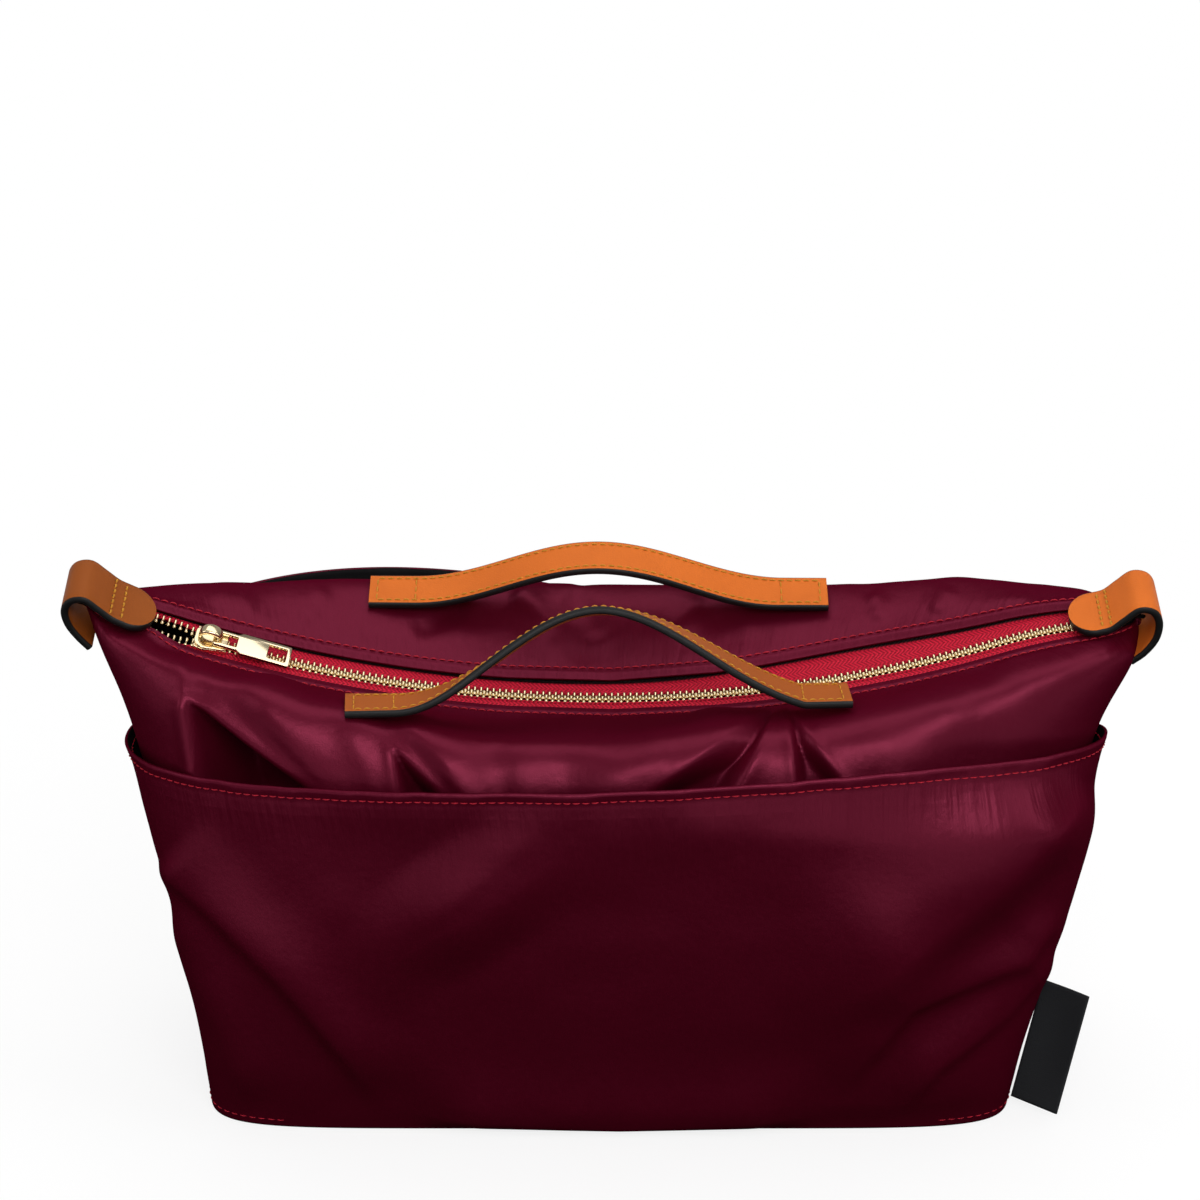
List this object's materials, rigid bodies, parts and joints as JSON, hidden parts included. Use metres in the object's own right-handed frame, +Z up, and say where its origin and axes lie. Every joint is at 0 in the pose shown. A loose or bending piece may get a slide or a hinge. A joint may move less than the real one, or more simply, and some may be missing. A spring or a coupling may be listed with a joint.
{
  "type": "purse organizer insert",
  "caption": "Soft rectangular zipped organizer insert with front and back slip pockets, two strap handles, two end loops and a metal zip.",
  "frame": {"origin": "centre of the flat underside of the base", "axes": "+X along the bag to the right, +Y from its front to its back, +Z up"},
  "size_m": [0.3671, 0.1292, 0.1893],
  "materials": {
    "nylon": "glossy burgundy nylon",
    "lining": "black lining cloth",
    "board": "stiffening board",
    "tape": "woven crimson tape",
    "gold": "polished pale gold",
    "leather": "tan with black painted edges",
    "label": "black woven ribbon, bare"
  },
  "bodies": {
    "bag": {"base_panel": "nylon", "front_panel": "nylon", "back_panel": "nylon", "front_pocket": "nylon", "back_pocket": "nylon", "base_lining": "lining", "front_lining": "lining", "back_lining": "lining", "front_inner_pocket": "lining", "back_inner_pocket": "lining", "base_board": "board", "front_zip_tape": "tape", "back_zip_tape": "tape", "front_zip_chain": "gold", "back_zip_chain": "gold", "front_top_stop": "gold", "back_top_stop": "gold", "bottom_stop": "gold", "front_handle_left_end": "leather", "front_handle_right_end": "leather", "back_handle_left_end": "leather", "back_handle_right_end": "leather", "left_end_loop": "leather", "right_end_loop": "leather"},
    "slider": {"slider_body": "gold", "slider_crown": "gold"},
    "pull": {"pull_tab": "gold"},
    "front_handle": {"front_handle_grip": "leather"},
    "back_handle": {"back_handle_grip": "leather"},
    "tag": {"side_tag": "label"}
  },
  "joints": [
    {"name": "zip_slide", "type": "hinge", "parent": "bag", "child": "slider", "pos_m": [-0.0025, 0, 0.5703], "axis": [0, -1, 0], "range_deg": [-1.1, 35], "deforming": ["front_zip_chain", "back_zip_chain"]},
    {"name": "pull_swing", "type": "hinge", "parent": "slider", "child": "pull", "pos_m": [-0.13355, 0, 0.16443], "axis": [0, -1, 0], "range_deg": [0, 160]},
    {"name": "front_handle_fold", "type": "hinge", "parent": "bag", "child": "front_handle", "pos_m": [-0.04635, -0.02936, 0.16456], "axis": [0.9974, 0.0709, -0.0105], "range_deg": [-60, 110]},
    {"name": "back_handle_fold", "type": "hinge", "parent": "bag", "child": "back_handle", "pos_m": [-0.04035, 0.02966, 0.16963], "axis": [1, 0.0044, -0.0054], "range_deg": [-105, 60]},
    {"name": "tag_swing", "type": "hinge", "parent": "bag", "child": "tag", "pos_m": [0.13978, -0.03916, 0.0045], "axis": [0.2316, 0.2656, 0.9358], "range_deg": [-60, 60]}
  ]
}
